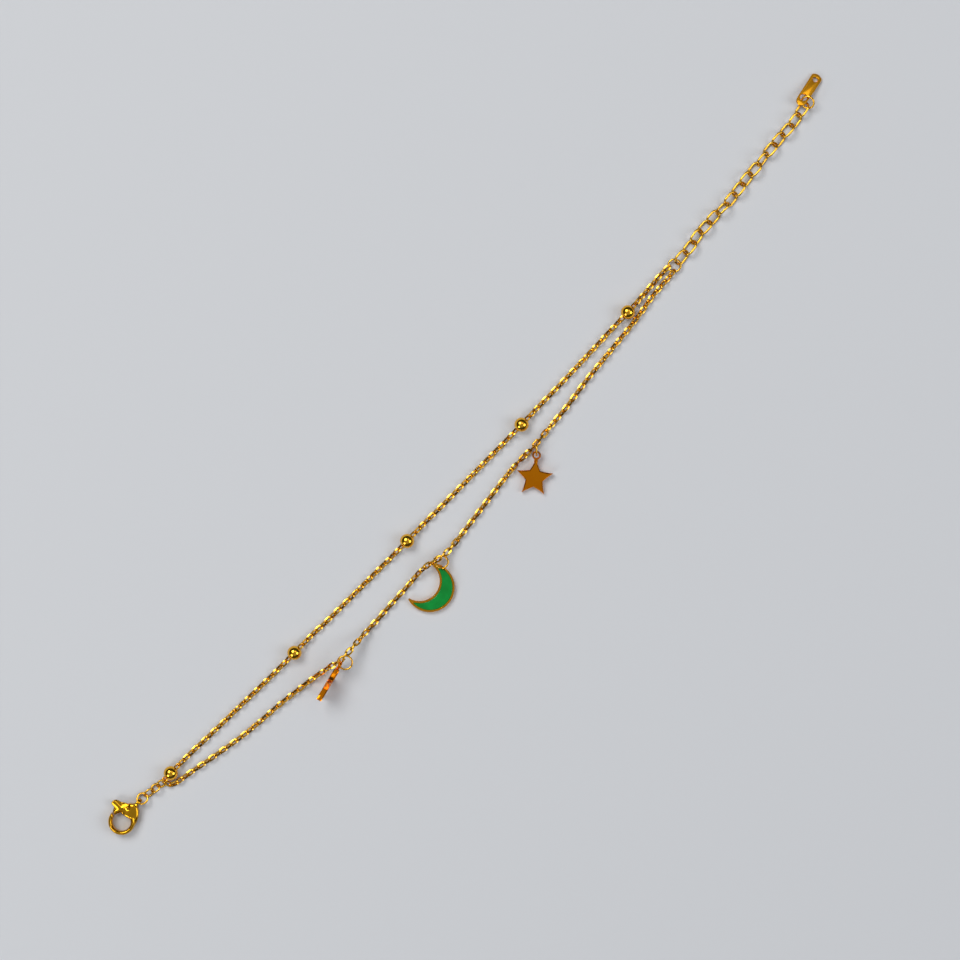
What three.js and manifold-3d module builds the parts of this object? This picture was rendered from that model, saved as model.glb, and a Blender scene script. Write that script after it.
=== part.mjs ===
// A gold-plated two-strand charm anklet, unfastened and laid out almost straight on a flat surface.
// Millimetres, +Z up, +X from the clasp to the end tag. The positions below are written in a
// laying-out grid, and the whole group is shifted by CENTRE so that the origin is at the middle of
// the footprint on the floor.
import * as THREE from "three";
import { mergeVertices } from "three/addons/utils/BufferGeometryUtils.js";
import Module from "manifold-3d";

const wasm = await Module();
wasm.setup();

const CENTRE = { x: 0.13, y: -9.5 };

// Wire and link sizes.
const WIRE = 0.25;
const CHARM_WIRE = 0.22;
const FINE = { half: 1.07, width: 0.59, wire: 0.25 };
const GAP = 0.13;

// Fine cable chain, drawn as one round bar of the links' mean width.
const CHAIN_RADIUS = 0.84;
const CHAIN_STEP = 4.8;

// Beads.
const BEAD_RADIUS = 1.8;
const BEAD_GAP = 0.3;
const BEADS = [[-108.5, -1.66], [-65.52, -3.45], [-25.96, -4.7], [14.73, -5.49], [53.32, -5.52]];

// Star charms: five points, with a stamped ring at one of them.
const STAR = { radius: 4.78, inner: 0.47, hollow: 0.16, thickness: 1.4, bevel: 0.22 };
const STAR_EYE = { at: 5.65, outer: 1.12, hole: 0.68, thickness: 0.8 };

// Crescent moon: an outer circle less an inner one, a gold rim and a bed of enamel.
const MOON = { radius: 6.2, innerRadius: 5.06, inner: [-0.6, 2.99], thickness: 1.35, rim: 0.45 };
const ENAMEL_DEPTH = 0.35;

// Lobster clasp, in its own axes: x from the hook towards the eyelet.
const CLASP = { x: -125.65, y: -1.05, z: 1.4, turn: 2.5, half: 1.4 };
const HOOK = { outer: 3.35, inner: 2.3, tip: 87, innerTip: 96 };
const EYELET = { x: 6.05, outer: 1.3, hole: 0.82, half: 0.5 };
const PIN = { x: 3.7, y: 0.95, radius: 0.38, bore: 0.46 };
const LEVER_HALF = 0.6;
const SLOT_HALF = 0.9;

// Extender: equal oval links from the ring of the strands to the ring of the tag.
const EXTENDER_LINKS = 16;
const EXTENDER_ROLL = 38;
const EXTENDER_ON_EDGE = { 6: 60, 11: 58 };
const EXTENDER_WIDTH = 1.35;
const EXTENDER_WIRE = 0.3;
const END_RING = { x: 69.82, y: -5.93, z: 0.98, radius: 1.55, lean: -8 };
const TAG_RING = { x: 122.16, y: -2.1, z: 1.85, radius: 1.58, lean: -38 };
const EXTENDER_ROUTE = [
  [72.55, -5.8], [75.9, -5.6], [79.2, -5.0], [82.3, -4.87], [85.8, -4.75], [88.9, -4.85],
  [92, -4.75], [95.2, -4.42], [98.3, -4.09], [101, -3.97], [105.3, -3.6], [110.7, -3.2],
  [113.6, -3.14], [117, -2.9], [119.98, -2.35],
];
const TAG = {
  near: 1.35, far: 1.8, length: 9.5, thickness: 0.6, hole: 0.65, nearHole: 0.9, at: [2.3, 7.95],
};

const gold = (name, color) => {
  const made = new THREE.MeshStandardMaterial({ color, roughness: 0.22, metalness: 1 });
  made.name = name;
  return made;
};
const CHAIN_GOLD = gold("chain_gold", 0xd9a441);
const CAST_GOLD = gold("cast_gold", 0xd6a03a);
const BEAD_GOLD = gold("bead_gold", 0xdca83f);
const ENAMEL = new THREE.MeshStandardMaterial({ color: 0x0b873c, roughness: 0.12, metalness: 0 });

const anklet = new THREE.Group();
anklet.name = "charm_anklet";
anklet.position.set(-CENTRE.x, -CENTRE.y, 0);

function add(name, geometry, material, parent = anklet) {
  const mesh = new THREE.Mesh(geometry, material);
  mesh.name = name;
  parent.add(mesh);
  return mesh;
}

function deg(angle) {
  return THREE.MathUtils.degToRad(angle);
}

function polar(radius, angle, x = 0, y = 0) {
  return new THREE.Vector2(x + radius * Math.cos(deg(angle)), y + radius * Math.sin(deg(angle)));
}

// Points along an arc, ends included.
function arc(radius, from, to, count, x = 0, y = 0) {
  const points = [];
  for (let i = 0; i < count; i += 1) {
    points.push(polar(radius, from + ((to - from) * i) / (count - 1), x, y));
  }
  return points;
}

// ---- solids -------------------------------------------------------------------------------

function solid(geometry) {
  const plain = geometry.index ? geometry.clone() : mergeVertices(geometry.clone());
  plain.deleteAttribute("normal");
  plain.deleteAttribute("uv");
  const welded = mergeVertices(plain, 1e-4);
  const mesh = new wasm.Mesh({
    numProp: 3,
    vertProperties: new Float32Array(welded.attributes.position.array),
    triVerts: new Uint32Array(welded.index.array),
  });
  return new wasm.Manifold(mesh);
}

function shell(made) {
  const mesh = made.getMesh();
  const geometry = new THREE.BufferGeometry();
  geometry.setAttribute("position", new THREE.BufferAttribute(mesh.vertProperties, 3));
  geometry.setIndex(new THREE.BufferAttribute(mesh.triVerts, 1));
  return geometry;
}

// A flat outline made into a plate centred on z = 0, with its edges eased.
function plate(outline, thickness, bevel = 0, segments = 2, holes = []) {
  const shape = new THREE.Shape(outline);
  for (const hole of holes) {
    shape.holes.push(new THREE.Path(hole));
  }
  const depth = thickness - 2 * bevel;
  const made = new THREE.ExtrudeGeometry(shape, {
    depth,
    bevelEnabled: bevel > 0,
    bevelThickness: bevel,
    bevelSize: bevel,
    bevelOffset: -bevel,
    bevelSegments: segments,
    steps: 1,
  });
  made.translate(0, 0, -depth / 2);
  return made;
}

// A closed wire loop: a round ring, or an oval when half is longer than width.
function loop(half, width, wire, steps = 16, sides = 6) {
  const made = new THREE.TorusGeometry(width, wire, sides, steps);
  const place = made.attributes.position;
  for (let i = 0; i < place.count; i += 1) {
    const x = place.getX(i);
    if (Math.abs(x) > 1e-5) {
      place.setX(i, x + Math.sign(x) * (half - width));
    }
  }
  return made;
}

// Places a loop lying along its heading: roll about its long axis, lean about the crosswise one.
function link(name, at, heading, roll, lean, size, steps = 16, sides = 6) {
  const made = add(name, loop(size.half, size.width, size.wire, steps, sides), CHAIN_GOLD);
  made.position.set(at[0], at[1], at[2]);
  made.rotation.set(deg(roll), deg(lean), deg(heading), "ZYX");
  return made;
}

// ---- fine chain -----------------------------------------------------------------------------

function chain(name, points) {
  const path = new THREE.CatmullRomCurve3(
    points.map(([x, y, z]) => new THREE.Vector3(x, y, z ?? CHAIN_RADIUS)),
    false,
    "centripetal",
  );
  const section = new THREE.Shape(arc(CHAIN_RADIUS, 22.5, 337.5, 8));
  const steps = Math.max(3, Math.round(path.getLength() / CHAIN_STEP));
  add(name, new THREE.ExtrudeGeometry(section, { steps, extrudePath: path }), CHAIN_GOLD);
}

function beadChain(name, from, to, between) {
  const start = [from[0] + BEAD_RADIUS + BEAD_GAP, from[1], BEAD_RADIUS];
  const end = [to[0] - BEAD_RADIUS - BEAD_GAP, to[1], BEAD_RADIUS];
  const rise = [start[0] + 5.5, start[1] + (to[1] - from[1]) * 0.1, CHAIN_RADIUS];
  const fall = [end[0] - 5.5, end[1] - (to[1] - from[1]) * 0.1, CHAIN_RADIUS];
  chain(name, [start, rise, ...between, fall, end]);
}

// ---- clasp ------------------------------------------------------------------------------------

function clasp() {
  const frame = new THREE.Group();
  frame.position.set(CLASP.x, CLASP.y, CLASP.z);
  frame.rotation.z = deg(CLASP.turn);
  anklet.add(frame);

  const outline = [
    ...arc(HOOK.outer, HOOK.tip, 290, 21),
    new THREE.Vector2(2.3, -2.9), new THREE.Vector2(3.3, -2.55), new THREE.Vector2(4.15, -2.05),
    new THREE.Vector2(4.85, -1.45), new THREE.Vector2(5.3, -0.75), new THREE.Vector2(5.3, 0.62),
    new THREE.Vector2(4.95, 1.2), new THREE.Vector2(4.35, 1.7), new THREE.Vector2(3.6, 1.96),
    new THREE.Vector2(2.8, 2.05), new THREE.Vector2(2.1, 1.95), new THREE.Vector2(1.6, 1.5),
    new THREE.Vector2(1.5, 0.9), new THREE.Vector2(1.6, 0.1), new THREE.Vector2(1.75, -0.7),
    ...arc(HOOK.inner, 325, HOOK.innerTip, 18),
  ];
  const eyelet = plate(
    arc(EYELET.outer, 0, 345, 24), EYELET.half * 2, 0.15, 1, [arc(EYELET.hole, 0, 337.5, 16)],
  );
  eyelet.rotateX(Math.PI / 2).translate(EYELET.x, 0, 0);
  const slot = plate(
    [
      new THREE.Vector2(1.2, 3.6), new THREE.Vector2(1.2, -0.4), new THREE.Vector2(2.9, -0.75),
      new THREE.Vector2(4.1, -0.25), new THREE.Vector2(4.75, 0.5), new THREE.Vector2(4.75, 1.5),
      new THREE.Vector2(4.3, 3.6),
    ],
    SLOT_HALF * 2,
  );
  const bore = new THREE.CylinderGeometry(PIN.bore, PIN.bore, 6, 14);
  bore.rotateX(Math.PI / 2).translate(PIN.x, PIN.y, 0);
  const body = solid(plate(outline, CLASP.half * 2, 0.36, 2))
    .add(solid(eyelet))
    .subtract(solid(slot))
    .subtract(solid(bore));
  add("clasp_body", shell(body), CAST_GOLD, frame);

  const lever = plate(
    [
      new THREE.Vector2(0.46, 3.42), new THREE.Vector2(0.03, 2.36), new THREE.Vector2(0.9, 2.05),
      new THREE.Vector2(2.3, 1.05), new THREE.Vector2(3.1, 0.3), new THREE.Vector2(3.7, 0.13),
      new THREE.Vector2(4.28, 0.38), new THREE.Vector2(4.5, 0.95), new THREE.Vector2(4.42, 1.6),
      new THREE.Vector2(4.15, 2.2), new THREE.Vector2(3.85, 2.8), new THREE.Vector2(3.5, 3.25),
      new THREE.Vector2(3.4, 4.1), new THREE.Vector2(3.1, 4.75), new THREE.Vector2(2.6, 5.05),
      new THREE.Vector2(1.95, 5.08), new THREE.Vector2(1.6, 4.75), new THREE.Vector2(1.52, 3.85),
      new THREE.Vector2(1.0, 3.62),
    ].reverse(),
    LEVER_HALF * 2, 0.12, 1,
  );
  add("clasp_lever", shell(solid(lever).subtract(solid(bore))), CAST_GOLD, frame);

  const pin = new THREE.CylinderGeometry(PIN.radius, PIN.radius, CLASP.half * 2, 14);
  pin.rotateX(Math.PI / 2).translate(PIN.x, PIN.y, 0);
  add("clasp_pin", pin, CAST_GOLD, frame);
}

// ---- beads --------------------------------------------------------------------------------------

function beads() {
  BEADS.forEach(([x, y], i) => {
    const ball = new THREE.SphereGeometry(BEAD_RADIUS, 14, 9);
    const made = i === 0 ? eyedBead(ball) : ball;
    const bead = add(`bead_${i + 1}`, made, BEAD_GOLD);
    bead.position.set(x, y, BEAD_RADIUS);
  });
}

// The first bead carries a soldered eye that hangs in the join ring.
function eyedBead(ball) {
  const eye = loop(0.85, 0.7, 0.21, 12, 6);
  eye.rotateX(deg(-42)).translate(-BEAD_RADIUS - 0.4, 0, -0.5);
  const round = ball.rotateX(Math.PI / 2);
  return shell(solid(round).add(solid(eye)));
}

// ---- star charms -----------------------------------------------------------------------------------

// The star lies in x, y with its ring on +x.
function starSolid() {
  const corners = [];
  for (let i = 0; i < 10; i += 1) {
    corners.push(polar(i % 2 ? STAR.radius * STAR.inner : STAR.radius, i * 36));
  }
  // Each side bows in a little between its point and its inner corner.
  const outline = corners.flatMap((from, i) => {
    const to = corners[(i + 1) % 10];
    const inward = from.clone().add(to).normalize().multiplyScalar(-STAR.hollow);
    return [
      from,
      from.clone().lerp(to, 1 / 3).addScaledVector(inward, 0.89),
      from.clone().lerp(to, 2 / 3).addScaledVector(inward, 0.89),
    ];
  });
  const neck = plate(
    [
      new THREE.Vector2(3.6, -0.45), new THREE.Vector2(4.95, -0.45),
      new THREE.Vector2(4.95, 0.45), new THREE.Vector2(3.6, 0.45),
    ],
    STAR_EYE.thickness,
  );
  const eye = plate(
    arc(STAR_EYE.outer, 0, 340, 18, STAR_EYE.at), STAR_EYE.thickness, 0.15, 1,
    [arc(STAR_EYE.hole, 0, 330, 12, STAR_EYE.at)],
  );
  return solid(plate(outline, STAR.thickness, STAR.bevel, 1)).add(solid(neck)).add(solid(eye));
}

function stars() {
  const made = shell(starSolid());
  const lying = add("star", made, CAST_GOLD);
  lying.position.set(7.32, -16.9, 1.09);
  lying.rotation.set(0, deg(-5.5), deg(38), "ZYX");

  const standing = add("side_star", made.clone(), CAST_GOLD);
  standing.position.set(-65.45, -14.99, 4.38);
  standing.rotation.set(deg(90), deg(-6), deg(12.4), "ZYX");
}

// ---- moon --------------------------------------------------------------------------------------------

// A crescent between two circles, its horns blunted by an angle on each arc.
function crescent(outer, inner, blunt) {
  const [cx, cy] = MOON.inner;
  const apart = Math.hypot(cx, cy);
  const facing = THREE.MathUtils.radToDeg(Math.atan2(cy, cx));
  const along = (outer ** 2 - inner ** 2 + apart ** 2) / (2 * apart);
  const spread = Math.sqrt(outer ** 2 - along ** 2);
  const outerHalf = THREE.MathUtils.radToDeg(Math.atan2(spread, along)) + blunt;
  const innerHalf = THREE.MathUtils.radToDeg(Math.atan2(spread, along - apart)) + blunt;
  return [
    ...arc(outer, facing + outerHalf, facing + 360 - outerHalf, 22),
    ...arc(inner, facing + 360 - innerHalf, facing + innerHalf, 18, cx, cy),
  ];
}

function moon() {
  const frame = new THREE.Group();
  frame.position.set(-30.49, -16.77, 0);
  anklet.add(frame);

  const disc = plate(crescent(MOON.radius, MOON.innerRadius, 7), MOON.thickness, 0.12, 1);
  disc.translate(0, 0, MOON.thickness / 2);
  const bed = plate(crescent(MOON.radius - MOON.rim, MOON.innerRadius + MOON.rim, 2), 2);
  bed.translate(0, 0, MOON.thickness - ENAMEL_DEPTH - 0.06 + 1);
  const ear = loop(0.75, 0.75, CHARM_WIRE, 14, 6);
  ear.rotateY(Math.PI / 2).translate(5.88, 0.88, MOON.thickness + 0.45);
  const gilt = solid(disc).subtract(solid(bed)).add(solid(ear));
  add("moon", shell(gilt), CAST_GOLD, frame);

  const fill = plate(
    crescent(MOON.radius - MOON.rim - 0.08, MOON.innerRadius + MOON.rim + 0.08, 3), ENAMEL_DEPTH,
    0.08, 1,
  );
  fill.translate(0, 0, MOON.thickness - ENAMEL_DEPTH / 2);
  add("moon_enamel", fill, ENAMEL, frame);
}

// ---- rings and links -----------------------------------------------------------------------------------

function ringSize(radius, wire = WIRE) {
  return { half: radius, width: radius, wire };
}

function claspRings() {
  link("clasp_ring", [-118.03, -0.85, 1.28], 2, -24, 5, ringSize(1.4));
  link("clasp_link_1", [-115.86, -1.1, 1.2], -8, 50, 0, { half: 1.35, width: 1.12, wire: WIRE });
  link("clasp_link_2", [-113.9, -1.4, 1.15], -10, -38, 0, { half: 1.2, width: 1.08, wire: WIRE });
  link("join_ring", [-112.02, -1.75, 1.25], -8, 52, 0, ringSize(1.25));
}

function charmRings() {
  link("side_star_ring", [-58.28, -14.3, 4.96], 160, 0, 0, ringSize(1.7, CHARM_WIRE));
  link("side_star_link", [-57.22, -13.04, 4.96], 14, 90, 0, FINE, 14, 6);
  link("moon_ring", [-23.8, -14.6, 1.85], 40, 0, 0, ringSize(1.53, CHARM_WIRE));
  link("moon_link", [-22.63, -13.62, 1.85], 8, 90, 0, FINE, 14, 6);
  link("star_ring", [12.88, -12.36, 1.8], 44, 90, 0, ringSize(1.56, CHARM_WIRE));
  link("star_link", [13.87, -11.41, 1.1], 3, 0, 0, FINE, 14, 6);
}

// ---- extender ----------------------------------------------------------------------------------------------

function extender() {
  link("end_join_ring", [END_RING.x, END_RING.y, END_RING.z], 0, 0, END_RING.lean,
    ringSize(END_RING.radius));
  const route = new THREE.CatmullRomCurve3(
    EXTENDER_ROUTE.map(([x, y]) => new THREE.Vector3(x, y, 0)), false, "centripetal",
  );
  const pitch = route.getLength() / (EXTENDER_LINKS - 1);
  const half = (pitch + 2 * EXTENDER_WIRE + GAP) / 2;
  for (let i = 1; i <= EXTENDER_LINKS; i += 1) {
    const along = (i - 1) / (EXTENDER_LINKS - 1);
    const at = route.getPointAt(along);
    const way = route.getTangentAt(along);
    const roll = (EXTENDER_ON_EDGE[i] ?? EXTENDER_ROLL) * (i % 2 ? 1 : -1);
    const lift = EXTENDER_WIDTH * Math.abs(Math.sin(deg(roll))) + EXTENDER_WIRE;
    const size = { half, width: EXTENDER_WIDTH, wire: EXTENDER_WIRE };
    const heading = THREE.MathUtils.radToDeg(Math.atan2(way.y, way.x));
    const name = `extender_link_${String(i).padStart(2, "0")}`;
    link(name, [at.x, at.y, lift + 0.02], heading, roll, 0, size, 14, 6);
  }
  link("tag_ring", [TAG_RING.x, TAG_RING.y, TAG_RING.z], 2, 0, TAG_RING.lean,
    ringSize(TAG_RING.radius));
}

// A flat tag, narrower at the end that hangs in its ring.
function tag() {
  const outline = [
    ...arc(TAG.far, -52, 52, 12, TAG.length - TAG.far),
    ...arc(TAG.near, 95, 265, 9, TAG.near),
  ];
  const blank = plate(outline, TAG.thickness, 0.1, 1, [
    arc(TAG.nearHole, 0, 330, 12, TAG.at[0]),
    arc(TAG.hole, 0, 330, 12, TAG.at[1]),
  ]);
  const made = add("tag", blank, CAST_GOLD);
  made.position.set(120.02, -0.95, 2.31);
  made.rotation.set(0, deg(12.2), deg(10), "ZYX");
}

// ---- the whole anklet ---------------------------------------------------------------------------------------

clasp();
claspRings();
beads();
for (let i = 1; i < BEADS.length; i += 1) {
  const bends = [
    [[-97, -2.1], [-84, -2.75], [-75, -3.2]],
    [[-56, -3.8], [-46, -4.15], [-35, -4.5]],
    [[-16, -4.9], [-5.5, -5.15], [5, -5.35]],
    [[24, -5.55], [34, -5.6], [44, -5.55]],
  ][i - 1];
  beadChain(`bead_chain_${i}`, BEADS[i - 1], BEADS[i], bends);
}
chain("bead_chain_5", [[55.5, -5.5, 1.8], [58.6, -5.35, 0.9], [63, -5.15, 0.88], [66.9, -5.0, 0.92]]);
charmChains();
stars();
moon();
charmRings();
extender();
tag();

function charmChains() {
  chain("charm_chain_1", [
    [-110.7, -4.0], [-108.5, -4.4], [-107, -4.75], [-103.85, -5.35], [-98.3, -6.55], [-89.9, -8.17],
    [-83.9, -8.98], [-77.6, -9.62], [-71.4, -10.52], [-66.5, -11.3, 1.0], [-63, -12.05, 1.8],
    [-60.6, -12.6, 2.8], [-58.9, -12.98, 3.45],
  ]);
  chain("charm_chain_2", [
    [-55.65, -13.1, 4.45], [-53.8, -13.0, 3.5], [-51.5, -12.9, 2.3], [-48.8, -12.82, 1.25],
    [-45.5, -12.8], [-40.2, -12.62], [-34.2, -12.5], [-30.6, -12.3, 1.2], [-28, -12.35, 2.2],
    [-25.9, -12.75, 3.1], [-24.25, -13.25, 3.15],
  ]);
  chain("charm_chain_3", [
    [-21.0, -13.85, 1.65], [-19, -13.72, 1.15], [-16, -13.5], [-9.4, -12.8], [-3.2, -12.16],
    [3.1, -11.55], [7.2, -11.3], [10.2, -11.4, 0.95], [12.3, -11.5, 1.1],
  ]);
  chain("charm_chain_4", [
    [15.42, -11.33, 1.1], [17.6, -11.2, 0.95], [21.5, -10.9], [25.9, -10.6], [33.9, -9.65],
    [40.15, -9.2], [46.4, -8.75], [51.2, -8.42], [55.9, -7.9], [60, -7.3], [64, -7.05],
    [66.9, -6.95, 0.9],
  ]);
}

export default anklet;
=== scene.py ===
"""The looks of a gold-plated charm anklet: its chains, rings, beads, charms and clasp."""

import math

import bpy
import numpy as np
from mathutils import Matrix, Vector


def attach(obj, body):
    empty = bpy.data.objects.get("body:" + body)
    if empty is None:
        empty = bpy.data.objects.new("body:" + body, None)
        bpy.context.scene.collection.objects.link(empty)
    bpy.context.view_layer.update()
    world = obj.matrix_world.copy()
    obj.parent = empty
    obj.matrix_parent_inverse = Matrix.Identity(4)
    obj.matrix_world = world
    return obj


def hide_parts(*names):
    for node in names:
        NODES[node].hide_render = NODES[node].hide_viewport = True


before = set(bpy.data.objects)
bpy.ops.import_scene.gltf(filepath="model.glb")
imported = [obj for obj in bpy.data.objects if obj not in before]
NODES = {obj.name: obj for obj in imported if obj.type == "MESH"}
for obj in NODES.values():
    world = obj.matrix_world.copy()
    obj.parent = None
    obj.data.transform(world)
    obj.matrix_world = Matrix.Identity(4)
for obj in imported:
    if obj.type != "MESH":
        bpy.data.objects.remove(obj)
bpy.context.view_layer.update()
MM = 0.001

# The anklet's sizes are in mm. Routes are given on the laying-out grid, and this spot on the grid is
# the part's origin.
CENTRE_X, CENTRE_Y = 0.13, -9.5

# Fine cable chain: one link's half length and half width to the wire's middle, its wire, its pitch.
LINK_HALF, LINK_WIDTH, LINK_WIRE, LINK_PITCH = 1.075, 0.585, 0.26, 1.63
# How far to each side of a link's middle its direction is read, and the heights of the middle of a
# chain that lies flat: the strand with beads and the strand with charms.
LINK_SIGHT = 0.7
BEAD_CHAIN_HEIGHT = 0.72
CHARM_CHAIN_HEIGHT = 0.84

# A loop whose length and width differ by less than this is drawn round.
NEARLY_ROUND = 0.06

# Beads are drilled where their faces lie further than BEAD_CAP along the strand from the middle.
BEAD_RADIUS = 1.8
BEAD_CAP = 1.765
BEAD_SPOTS = [(-108.5, -1.66), (-65.52, -3.45), (-25.96, -4.7), (14.73, -5.49), (53.32, -5.52)]
BEAD_CHAIN_BENDS = [
    [(-97, -2.1), (-84, -2.75), (-75, -3.2)],
    [(-56, -3.8), (-46, -4.15), (-35, -4.5)],
    [(-16, -4.9), (-5.5, -5.15), (5, -5.35)],
    [(24, -5.55), (34, -5.6), (44, -5.55)],
]

# The clasp: its hook's middle in the part's frame, its turn in degrees, the radius of the hook's
# wire centre, and half its thickness.
CLASP_X, CLASP_Y, CLASP_TURN = -125.78, 8.45, 2.5
HOOK_RADIUS = 2.83
CLASP_HALF = 1.4

# The camera looks straight down. Its lens and sensor are in mm, and the view is 0.24 m wide.
LENS, SENSOR, VIEW_WIDTH = 100, 36, 0.24

EXTENDER = [f"extender_link_{i:02d}" for i in range(1, 17)]
RINGS = [
    "clasp_ring", "clasp_link_1", "clasp_link_2", "join_ring", "end_join_ring", "tag_ring",
    "side_star_ring", "moon_ring", "star_ring", "side_star_link", "moon_link", "star_link",
]
BEADS = ["bead_1", "bead_2", "bead_3", "bead_4", "bead_5"]


# ---- working with objects -----------------------------------------------------------------------


def deselect():
    if bpy.context.object and bpy.context.object.mode != "OBJECT":
        bpy.ops.object.mode_set(mode="OBJECT")
    bpy.ops.object.select_all(action="DESELECT")


def pick(obj):
    deselect()
    obj.select_set(True)
    bpy.context.view_layer.objects.active = obj
    return obj


def choose(made, test, faces=False):
    """Selects the vertices, or the faces, that pass a test, and stays in edit mode."""
    bpy.ops.object.mode_set(mode="EDIT")
    bpy.ops.mesh.select_all(action="DESELECT")
    bpy.ops.object.mode_set(mode="OBJECT")
    for element in made.data.polygons if faces else made.data.vertices:
        element.select = test(element)
    bpy.ops.object.mode_set(mode="EDIT")


def placed_copy(master, matrix):
    copy = master.copy()
    copy.data = master.data.copy()
    bpy.context.scene.collection.objects.link(copy)
    copy.data.transform(matrix)
    return copy


def join(objects, name):
    deselect()
    for obj in objects:
        obj.select_set(True)
    bpy.context.view_layer.objects.active = objects[0]
    if len(objects) > 1:
        bpy.ops.object.join()
    made = bpy.context.object
    made.name = name
    made.data.name = name
    return made


def finish_piece(obj, material, body="root", stands_for=(), smooth=60):
    obj.data.materials.clear()
    obj.data.materials.append(material)
    pick(obj)
    bpy.ops.object.shade_smooth_by_angle(angle=math.radians(smooth))
    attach(obj, body)
    if stands_for:
        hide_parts(*stands_for)
    return obj


def apply_all(obj):
    pick(obj)
    for modifier in list(obj.modifiers):
        bpy.ops.object.modifier_apply(modifier=modifier.name)
    return obj


# ---- finishes -----------------------------------------------------------------------------------


def plate_group():
    """Gold plate over metal: drifting tone, fine polishing marks and a soft unevenness."""
    group = bpy.data.node_groups.new("polished gold plate", "ShaderNodeTree")
    face = group.interface
    for name, kind in [
        ("Gold", "NodeSocketColor"), ("Deep gold", "NodeSocketColor"),
        ("Tone size", "NodeSocketFloat"), ("Polish", "NodeSocketFloat"),
        ("Haze", "NodeSocketFloat"), ("Marks", "NodeSocketFloat"),
    ]:
        face.new_socket(name=name, in_out="INPUT", socket_type=kind)
    for name, kind in [
        ("Color", "NodeSocketColor"), ("Roughness", "NodeSocketFloat"),
        ("Height", "NodeSocketFloat"),
    ]:
        face.new_socket(name=name, in_out="OUTPUT", socket_type=kind)
    nodes, links = group.nodes, group.links
    given = nodes.new("NodeGroupInput")
    out = nodes.new("NodeGroupOutput")
    place = nodes.new("ShaderNodeTexCoord")
    tone = nodes.new("ShaderNodeTexNoise")
    tone.inputs["Detail"].default_value = 3.0
    links.new(place.outputs["Object"], tone.inputs["Vector"])
    links.new(given.outputs["Tone size"], tone.inputs["Scale"])
    mix = nodes.new("ShaderNodeMix")
    mix.data_type = "RGBA"
    links.new(tone.outputs["Fac"], mix.inputs["Factor"])
    links.new(given.outputs["Deep gold"], mix.inputs["A"])
    links.new(given.outputs["Gold"], mix.inputs["B"])
    links.new(mix.outputs["Result"], out.inputs["Color"])
    fine = nodes.new("ShaderNodeTexNoise")
    fine.inputs["Scale"].default_value = 9000.0
    fine.inputs["Detail"].default_value = 4.0
    links.new(place.outputs["Object"], fine.inputs["Vector"])
    rough = nodes.new("ShaderNodeMath")
    rough.operation = "MULTIPLY_ADD"
    links.new(fine.outputs["Fac"], rough.inputs[0])
    links.new(given.outputs["Haze"], rough.inputs[1])
    links.new(given.outputs["Polish"], rough.inputs[2])
    links.new(rough.outputs["Value"], out.inputs["Roughness"])
    marks = nodes.new("ShaderNodeMath")
    marks.operation = "MULTIPLY"
    links.new(fine.outputs["Fac"], marks.inputs[0])
    links.new(given.outputs["Marks"], marks.inputs[1])
    links.new(marks.outputs["Value"], out.inputs["Height"])
    return group


PLATE = plate_group()


def shader(material):
    return next(n for n in material.node_tree.nodes if n.type == "BSDF_PRINCIPLED")


def gold(name, light, deep, tone_size=400.0, polish=0.12, haze=0.1, marks=0.3):
    material = bpy.data.materials.new(name)
    material.use_nodes = True
    nodes, links = material.node_tree.nodes, material.node_tree.links
    metal = shader(material)
    metal.inputs["Metallic"].default_value = 1.0
    plate = nodes.new("ShaderNodeGroup")
    plate.node_tree = PLATE
    plate.inputs["Gold"].default_value = (*light, 1)
    plate.inputs["Deep gold"].default_value = (*deep, 1)
    plate.inputs["Tone size"].default_value = tone_size
    plate.inputs["Polish"].default_value = polish
    plate.inputs["Haze"].default_value = haze
    plate.inputs["Marks"].default_value = marks
    bump = nodes.new("ShaderNodeBump")
    bump.inputs["Strength"].default_value = 0.12
    bump.inputs["Distance"].default_value = 0.00004
    links.new(plate.outputs["Color"], metal.inputs["Base Color"])
    links.new(plate.outputs["Roughness"], metal.inputs["Roughness"])
    links.new(plate.outputs["Height"], bump.inputs["Height"])
    links.new(bump.outputs["Normal"], metal.inputs["Normal"])
    return material


CHAIN_GOLD = gold("chain gold", (0.88, 0.52, 0.06), (0.70, 0.35, 0.028), 300.0, 0.16, 0.12)
CLASP_GOLD = gold("clasp gold", (0.76, 0.41, 0.02), (0.58, 0.27, 0.01), 260.0, 0.1, 0.12)
CAST_GOLD = gold("cast gold", (0.95, 0.46, 0.022), (0.80, 0.33, 0.012), 260.0, 0.1, 0.12)
STAR_GOLD = gold("star gold", (0.93, 0.32, 0.006), (0.78, 0.20, 0.003), 150.0, 0.12, 0.12)
BEAD_GOLD = gold("bead gold", (0.96, 0.55, 0.05), (0.84, 0.40, 0.025), 500.0, 0.07, 0.08)


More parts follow.
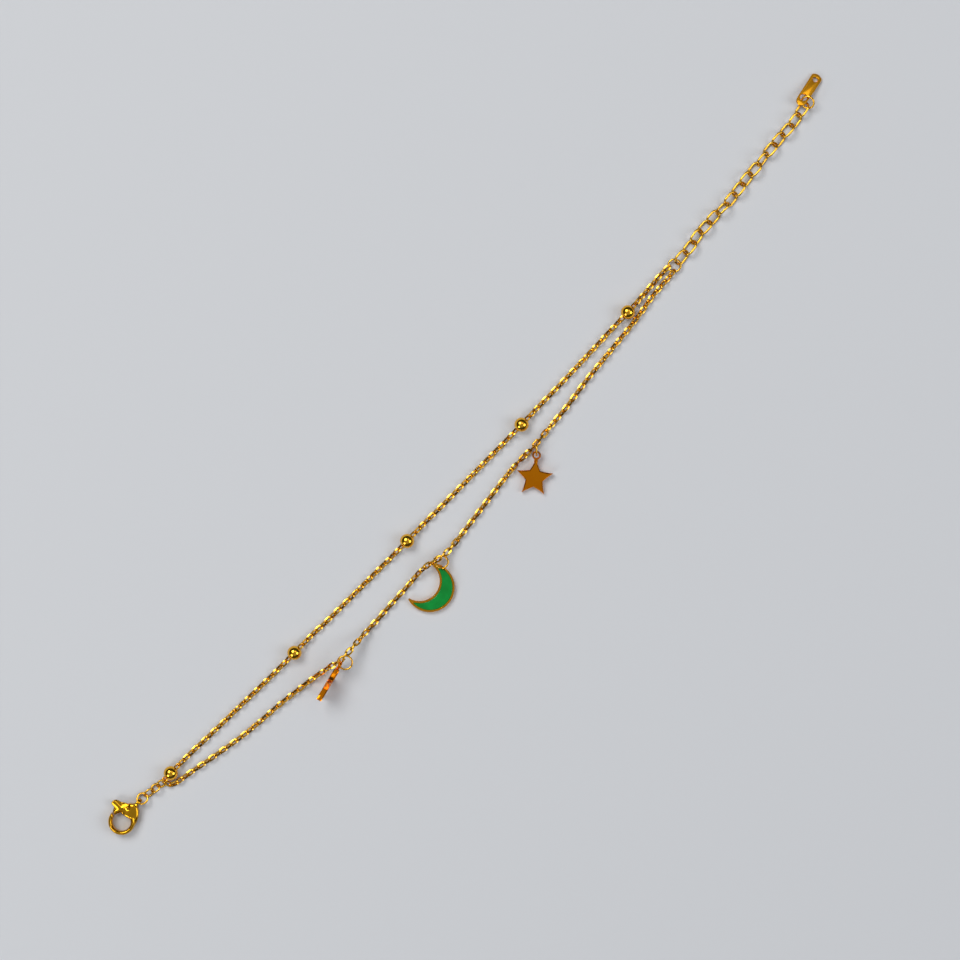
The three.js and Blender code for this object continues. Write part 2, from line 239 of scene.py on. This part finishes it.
def enamel():
    material = bpy.data.materials.new("green enamel")
    material.use_nodes = True
    nodes, links = material.node_tree.nodes, material.node_tree.links
    glaze = shader(material)
    glaze.inputs["Roughness"].default_value = 0.2
    glaze.inputs["Specular IOR Level"].default_value = 0.2
    glaze.inputs["Coat Weight"].default_value = 0.3
    glaze.inputs["Coat Roughness"].default_value = 0.03
    place = nodes.new("ShaderNodeTexCoord")
    depth = nodes.new("ShaderNodeTexNoise")
    depth.inputs["Scale"].default_value = 420.0
    depth.inputs["Detail"].default_value = 5.0
    links.new(place.outputs["Object"], depth.inputs["Vector"])
    shade = nodes.new("ShaderNodeValToRGB")
    shade.color_ramp.elements[0].position = 0.3
    shade.color_ramp.elements[0].color = (0.0004, 0.185, 0.020, 1)
    shade.color_ramp.elements[1].position = 0.75
    shade.color_ramp.elements[1].color = (0.0006, 0.275, 0.036, 1)
    links.new(depth.outputs["Fac"], shade.inputs["Fac"])
    links.new(shade.outputs["Color"], glaze.inputs["Base Color"])
    swell = nodes.new("ShaderNodeBump")
    swell.inputs["Strength"].default_value = 0.08
    swell.inputs["Distance"].default_value = 0.0001
    links.new(depth.outputs["Fac"], swell.inputs["Height"])
    links.new(swell.outputs["Normal"], glaze.inputs["Normal"])
    return material


ENAMEL = enamel()


# ---- loops --------------------------------------------------------------------------------------


def wire_loop(half, width, wire, turns, sides):
    """A round or oval loop of wire, lying flat about the origin; sizes in metres."""
    deselect()
    bpy.ops.mesh.primitive_torus_add(
        major_segments=turns, minor_segments=sides, major_radius=width, minor_radius=wire,
    )
    made = bpy.context.object
    stretch = half - width
    if stretch > 0.001 * MM:
        for side in (1, -1):
            choose(made, lambda vertex: vertex.co.x * side > 0.0001 * MM)
            bpy.ops.transform.translate(value=(side * stretch, 0, 0))
            bpy.ops.object.mode_set(mode="OBJECT")
    return made


def loop_place(node):
    """Where a loop of the frame lies: its matrix, half length, half width and wire.

    A loop's six-sided wire is measured to its flats, and the radius given is to its corners.
    """
    points = np.array([v.co for v in NODES[node].data.vertices])
    points = np.unique(np.round(points, 7), axis=0)
    middle = points.mean(0)
    spread = points - middle
    axes = np.linalg.svd(spread, full_matrices=False)[2]
    if np.linalg.det(axes) < 0:
        axes[2] = -axes[2]
    reach = np.abs(spread @ axes.T).max(0)
    wire = reach[2] / math.cos(math.radians(30))
    spot = Matrix.Translation(Vector(middle.tolist()))
    turn = Matrix(axes.tolist()).transposed().to_4x4()
    return spot @ turn, reach[0] - wire, reach[1] - wire, wire


def fine_loop(node):
    """A smooth loop in place of one of the frame's faceted ones; a nearly round one is round."""
    place, half, width, wire = loop_place(node)
    if half - width < NEARLY_ROUND * MM:
        width = half
    made = wire_loop(half, width, wire, 40, 12)
    made.data.transform(place)
    made.name = f"{node}_wire"
    return finish_piece(made, CHAIN_GOLD, stands_for=(node,))


# ---- fine cable chain ---------------------------------------------------------------------------


def smooth_route(points, per_span=24):
    """A soft curve through the points, in mm, as a dense list of points in the part's frame."""
    spots = [Vector((x - CENTRE_X, y - CENTRE_Y, z)) for x, y, z in points]
    spots = [spots[0] * 2 - spots[1]] + spots + [spots[-1] * 2 - spots[-2]]
    route = []
    for i in range(1, len(spots) - 2):
        a, b, c, d = spots[i - 1:i + 3]
        for k in range(per_span):
            t = k / per_span
            tan_b = (c - a) * ((c - b).length / max((c - b).length + (b - a).length, 1e-6))
            tan_c = (d - b) * ((c - b).length / max((d - c).length + (c - b).length, 1e-6))
            route.append(
                b * (2 * t ** 3 - 3 * t ** 2 + 1) + tan_b * (t ** 3 - 2 * t ** 2 + t)
                + c * (3 * t ** 2 - 2 * t ** 3) + tan_c * (t ** 3 - t ** 2)
            )
    route.append(spots[-2])
    return route


def along(route, distance):
    left = distance
    for a, b in zip(route, route[1:]):
        span = (b - a).length
        if left <= span:
            return a.lerp(b, left / span)
        left -= span
    return route[-1]


def route_length(route):
    return sum((b - a).length for a, b in zip(route, route[1:]))


def cable(link, node, points, first, last, roll):
    """Links along a route. first and last are the spare lengths before the end links' middles."""
    route = smooth_route(points)
    total = route_length(route) - first - last
    count = max(1, round(total / LINK_PITCH))
    pitch = total / count
    made = []
    for i in range(count + 1):
        at = first + i * pitch
        here = along(route, at)
        ahead = along(route, min(at + LINK_SIGHT, route_length(route)))
        behind = along(route, max(at - LINK_SIGHT, 0))
        forward = (ahead - behind).normalized()
        side = Vector((0, 0, 1)).cross(forward).normalized()
        up = forward.cross(side)
        turn = Matrix((forward, side, up)).transposed().to_4x4()
        spin = Matrix.Rotation(math.radians(roll(i, count)), 4, "X")
        made.append(placed_copy(link, Matrix.Translation(here * MM) @ turn @ spin))
    chain = join(made, f"{node}_links")
    return finish_piece(chain, CHAIN_GOLD, stands_for=(node,))


def crossed(i, count):
    """Links leaning one way and the other by turns: the strand with the beads."""
    return (45 if i % 2 else -45) + 8 * math.sin(i / 4.0)


def settling(first, last, ease=4):
    """Links leaning by turns, easing at each end into the roll that a charm's link asks for.

    first and last are the rolls of the stretch's first and last links, or None where it is free,
    and ease is the number of links that it eases over.
    """
    def roll(i, count):
        lean = -45.0 + 14 * math.sin(i / 5.0)
        if first is not None:
            lean += (first - lean) * max(0.0, 1 - i / ease)
        if last is not None:
            end = last - (90 if count % 2 else 0)
            lean += (end - lean) * max(0.0, 1 - (count - i) / ease)
        return lean + (90 if i % 2 else 0)
    return roll


# ---- strands ------------------------------------------------------------------------------------



def bead_strand(link):
    for i, bends in enumerate(BEAD_CHAIN_BENDS):
        (x0, y0), (x1, y1) = BEAD_SPOTS[i], BEAD_SPOTS[i + 1]
        lean = (y1 - y0) * 0.1
        points = [
            (x0 + BEAD_RADIUS, y0, 1.75), (x0 + 3.6, y0 + lean * 0.4, 1.25),
            (x0 + 7.6, y0 + lean, BEAD_CHAIN_HEIGHT),
            *((x, y, BEAD_CHAIN_HEIGHT) for x, y in bends),
            (x1 - 7.6, y1 - lean, BEAD_CHAIN_HEIGHT), (x1 - 3.6, y1 - lean * 0.4, 1.25),
            (x1 - BEAD_RADIUS, y1, 1.75),
        ]
        cable(link, f"bead_chain_{i + 1}", points, 0.45, 0.45, crossed)
    tail = [(55.12, -5.5, 1.75), (57, -5.42, 1.2), (60, -5.3, 0.8), (63, -5.15, 0.75),
            (66.9, -5.0, 0.8), (68.5, -5.12, 0.85)]
    cable(link, "bead_chain_5", tail, 0.45, 0.5, crossed)


def charm_strand(link):
    """Four stretches of chain. Where one ends at a charm's link, the next begins at its middle."""
    side_star, moon, star = (-57.22, -13.04, 4.96), (-22.63, -13.62, 1.85), (13.87, -11.41, 1.1)

    def stretch(number, points, first, last, roll):
        lying = [(*point, CHARM_CHAIN_HEIGHT) if len(point) == 2 else point for point in points]
        cable(link, f"charm_chain_{number}", lying, first, last, roll)

    stretch(1, [
        (-111.15, -2.45, 0.62), (-110.75, -3.6, 0.75), (-109.4, -4.25), (-107, -4.75),
        (-103.85, -5.35), (-98.3, -6.55), (-89.9, -8.17), (-83.9, -8.98), (-77.6, -9.62),
        (-71.4, -10.52), (-66.5, -11.3, 1.0), (-63, -12.05, 1.8), (-60.6, -12.6, 2.8),
        (-58.9, -13.0, 3.7), side_star,
    ], 0.5, LINK_PITCH, settling(None, 0))
    stretch(2, [
        side_star, (-55.65, -13.1, 4.45), (-53.8, -13.0, 3.5), (-51.5, -12.9, 2.3),
        (-48.8, -12.82, 1.25), (-45.5, -12.8), (-40.2, -12.62), (-34.2, -12.5),
        (-30.6, -12.3, 1.2), (-28, -12.35, 2.2), (-25.9, -12.75, 3.1), (-24.25, -13.25, 3.0), moon,
    ], LINK_PITCH, LINK_PITCH, settling(0, 0))
    stretch(3, [
        moon, (-21.0, -13.85, 1.65), (-19, -13.72, 1.15), (-16, -13.5), (-9.4, -12.8),
        (-3.2, -12.16), (3.1, -11.55), (7.2, -11.3), (10.2, -11.4, 0.95), (12.3, -11.5, 1.1), star,
    ], LINK_PITCH, LINK_PITCH, settling(0, -90))
    stretch(4, [
        star, (15.42, -11.33, 1.1), (17.6, -11.2, 0.95), (21.5, -10.9), (25.9, -10.6),
        (33.9, -9.65), (40.15, -9.2), (46.4, -8.75), (51.2, -8.42), (55.9, -7.9), (60, -7.3),
        (64, -7.05), (66.9, -6.95, 0.88), (68.5, -6.75, 0.88),
    ], LINK_PITCH, 0.5, settling(-90, None))


# ---- beads --------------------------------------------------------------------------------------


def bead(node):
    """A round bead, drilled along the strand. The first one carries a soldered eye."""
    index = BEADS.index(node)
    x, y = BEAD_SPOTS[index]
    deselect()
    bpy.ops.mesh.primitive_uv_sphere_add(segments=40, ring_count=22, radius=BEAD_RADIUS * MM)
    ball = bpy.context.object
    bpy.ops.transform.rotate(value=math.pi / 2, orient_axis="Y", center_override=(0, 0, 0))
    bpy.ops.object.transform_apply(rotation=True)
    for end in (1, -1):
        choose(ball, lambda face: face.center.x * end > BEAD_CAP * MM, faces=True)
        bpy.ops.mesh.dissolve_faces()
        bpy.ops.mesh.inset(thickness=0.07 * MM, depth=0.05 * MM)
        bpy.ops.mesh.inset(thickness=0.05 * MM, depth=-0.15 * MM)
        bpy.ops.object.mode_set(mode="OBJECT")
    ball.data.transform(Matrix.Translation(
        Vector((x - CENTRE_X, y - CENTRE_Y, BEAD_RADIUS)) * MM))
    parts = [ball]
    if index == 0:
        eye = wire_loop(0.85 * MM, 0.7 * MM, 0.21 * MM, 28, 10)
        spot = Vector((x - CENTRE_X - BEAD_RADIUS - 0.4, y - CENTRE_Y, BEAD_RADIUS - 0.5)) * MM
        eye.data.transform(Matrix.Translation(spot) @ Matrix.Rotation(math.radians(-42), 4, "X"))
        parts.append(eye)
    made = join(parts, f"{node}_ball")
    return finish_piece(made, BEAD_GOLD, stands_for=(node,), smooth=50)


# ---- castings -----------------------------------------------------------------------------------


def casting_copy(node):
    """A copy of a node of the frame, its loose triangles joined up."""
    copy = NODES[node].copy()
    copy.data = NODES[node].data.copy()
    copy.parent = None
    copy.animation_data_clear()
    for key in list(copy.keys()):
        del copy[key]
    bpy.context.scene.collection.objects.link(copy)
    copy.name = f"{node}_cast"
    pick(copy)
    bpy.ops.object.mode_set(mode="EDIT")
    bpy.ops.mesh.select_all(action="SELECT")
    bpy.ops.mesh.remove_doubles(threshold=0.000002)
    bpy.ops.object.mode_set(mode="OBJECT")
    return copy


def soften(node, voxel, passes, material, body="root"):
    """Rounds a casting's edges as tumbling and polishing do."""
    made = casting_copy(node)
    remesh = made.modifiers.new("skin", "REMESH")
    remesh.mode = "VOXEL"
    remesh.voxel_size = voxel * MM
    smooth = made.modifiers.new("polish", "SMOOTH")
    smooth.factor = 0.5
    smooth.iterations = passes
    apply_all(made)
    return finish_piece(made, material, body, (node,), smooth=80)


def dome(made, spine, middle, drop):
    """Thins a casting away from its spine, whose points are x, y and half width, in mm.

    middle is the height of the casting's middle, in metres, and drop is the share lost at an edge.
    """
    for vertex in made.data.vertices:
        spot = Vector(vertex.co.xy) / MM
        off = 1.0
        for (ax, ay, a_reach), (bx, by, b_reach) in zip(spine, spine[1:]):
            start, run = Vector((ax, ay)), Vector((bx - ax, by - ay))
            t = min(1.0, max(0.0, (spot - start).dot(run) / run.length_squared))
            reach = a_reach + (b_reach - a_reach) * t
            off = min(off, (spot - start - run * t).length / reach)
        vertex.co.z = middle + (vertex.co.z - middle) * (1 - drop * off ** 2)
    return made


def on_clasp(u, v, reach):
    """A spine point of the clasp, from the clasp's own axes: its hook's middle is at 0, 0."""
    turn = math.radians(CLASP_TURN)
    return (CLASP_X + u * math.cos(turn) - v * math.sin(turn),
            CLASP_Y + u * math.sin(turn) + v * math.cos(turn), reach)


def clasp():
    body = soften("clasp_body", 0.07, 22, CLASP_GOLD)
    hook = [
        on_clasp(HOOK_RADIUS * math.cos(math.radians(a)), HOOK_RADIUS * math.sin(math.radians(a)),
                 0.62)
        for a in range(90, 331, 20)
    ]
    shank = [on_clasp(3.0, -0.6, 2.1), on_clasp(4.6, 0, 1.5), on_clasp(7.4, 0, 1.2)]
    dome(body, hook + shank, CLASP_HALF * MM, 0.3)
    lever = soften("clasp_lever", 0.05, 14, CLASP_GOLD, "lever")
    tab, root, arm = on_clasp(2.35, 5.0, 0.8), on_clasp(2.2, 2.3, 0.8), on_clasp(1.0, 2.7, 0.6)
    nose, hinge = on_clasp(-0.1, 2.8, 0.5), on_clasp(3.7, 1.1, 1.0)
    dome(lever, [tab, root, arm, nose, arm, root, hinge], CLASP_HALF * MM, 0.5)
    crisp("clasp_pin", 0.06, CLASP_GOLD)


def crisp(node, bevel, material):
    """Keeps a stamping's shape and breaks its edges."""
    made = casting_copy(node)
    pick(made)
    bpy.ops.object.mode_set(mode="EDIT")
    bpy.ops.mesh.select_all(action="SELECT")
    bpy.ops.mesh.dissolve_limited(angle_limit=math.radians(1.5))
    bpy.ops.object.mode_set(mode="OBJECT")
    edge = made.modifiers.new("edge", "BEVEL")
    edge.width = bevel * MM
    edge.segments = 3
    edge.limit_method = "ANGLE"
    edge.angle_limit = math.radians(28)
    apply_all(made)
    return finish_piece(made, material, stands_for=(node,), smooth=35)


# ---- light, floor and camera --------------------------------------------------------------------


def soft_light(name, spot, target, size, power, tint=(1, 1, 1)):
    data = bpy.data.lights.new(name, "AREA")
    data.shape = "DISK"
    data.size = size
    data.energy = power
    data.color = tint
    lamp = bpy.data.objects.new(name, data)
    bpy.context.scene.collection.objects.link(lamp)
    lamp.location = spot
    aim = Vector(target) - Vector(spot)
    lamp.rotation_euler = aim.to_track_quat("-Z", "Y").to_euler()
    return lamp


def stage():
    deselect()
    bpy.ops.mesh.primitive_grid_add(x_subdivisions=4, y_subdivisions=4, size=3.0)
    floor = bpy.context.object
    floor.name = "floor"
    paper = bpy.data.materials.new("pale floor")
    paper.use_nodes = True
    base = shader(paper)
    base.inputs["Base Color"].default_value = (0.60, 0.62, 0.65, 1)
    base.inputs["Roughness"].default_value = 0.9
    floor.data.materials.append(paper)
    world = bpy.data.worlds.new("studio")
    world.use_nodes = True
    nodes, links = world.node_tree.nodes, world.node_tree.links
    back = nodes["Background"]
    way = nodes.new("ShaderNodeTexCoord")
    height = nodes.new("ShaderNodeSeparateXYZ")
    links.new(way.outputs["Generated"], height.inputs["Vector"])
    tent = nodes.new("ShaderNodeValToRGB")
    tent.color_ramp.elements[0].position = 0.0
    tent.color_ramp.elements[0].color = (0.03, 0.03, 0.035, 1)
    tent.color_ramp.elements[1].position = 0.97
    tent.color_ramp.elements[1].color = (0.34, 0.345, 0.36, 1)
    step = tent.color_ramp.elements.new(0.62)
    step.color = (0.07, 0.072, 0.08, 1)
    step = tent.color_ramp.elements.new(0.8)
    step.color = (0.42, 0.42, 0.43, 1)
    links.new(height.outputs["Z"], tent.inputs["Fac"])
    links.new(tent.outputs["Color"], back.inputs["Color"])
    bpy.context.scene.world = world
    bpy.context.scene.view_settings.view_transform = "Standard"
    soft_light("key", (0.05, 0.8, 1.1), (0, 0, 0), 0.8, 10.5, (1.0, 0.98, 0.95))
    soft_light("fill", (0.55, -0.75, 0.8), (0, 0, 0), 0.8, 4.5, (0.97, 0.98, 1.0))
    soft_light("side", (-0.8, 0.05, 0.5), (0, 0, 0), 0.4, 2.0)
    soft_light("end card", (0.34, 0.03, 0.62), (0, 0, 0), 0.26, 0.2, (1.0, 0.96, 0.9))


def camera():
    data = bpy.data.cameras.new("camera")
    data.lens = LENS
    data.sensor_width = SENSOR
    data.clip_end = 10
    eye = bpy.data.objects.new("camera", data)
    bpy.context.scene.collection.objects.link(eye)
    eye.location = (-0.00255, 0.00205, VIEW_WIDTH * LENS / SENSOR)
    eye.rotation_euler = (0, 0, math.radians(-46.6))
    bpy.context.scene.camera = eye


# ---- the whole anklet ---------------------------------------------------------------------------

camera()
stage()
one_link = wire_loop(LINK_HALF * MM, LINK_WIDTH * MM, LINK_WIRE * MM, 12, 5)
one_link.name = "cable_link"
bead_strand(one_link)
charm_strand(one_link)
bpy.data.objects.remove(one_link)
for ring_node in RINGS + EXTENDER:
    fine_loop(ring_node)
for bead_node in BEADS:
    bead(bead_node)
clasp()
for star_node in ("side_star", "star"):
    crisp(star_node, 0.08, STAR_GOLD)
crisp("moon", 0.06, CAST_GOLD)
crisp("tag", 0.08, CAST_GOLD)
soften("moon_enamel", 0.06, 8, ENAMEL)
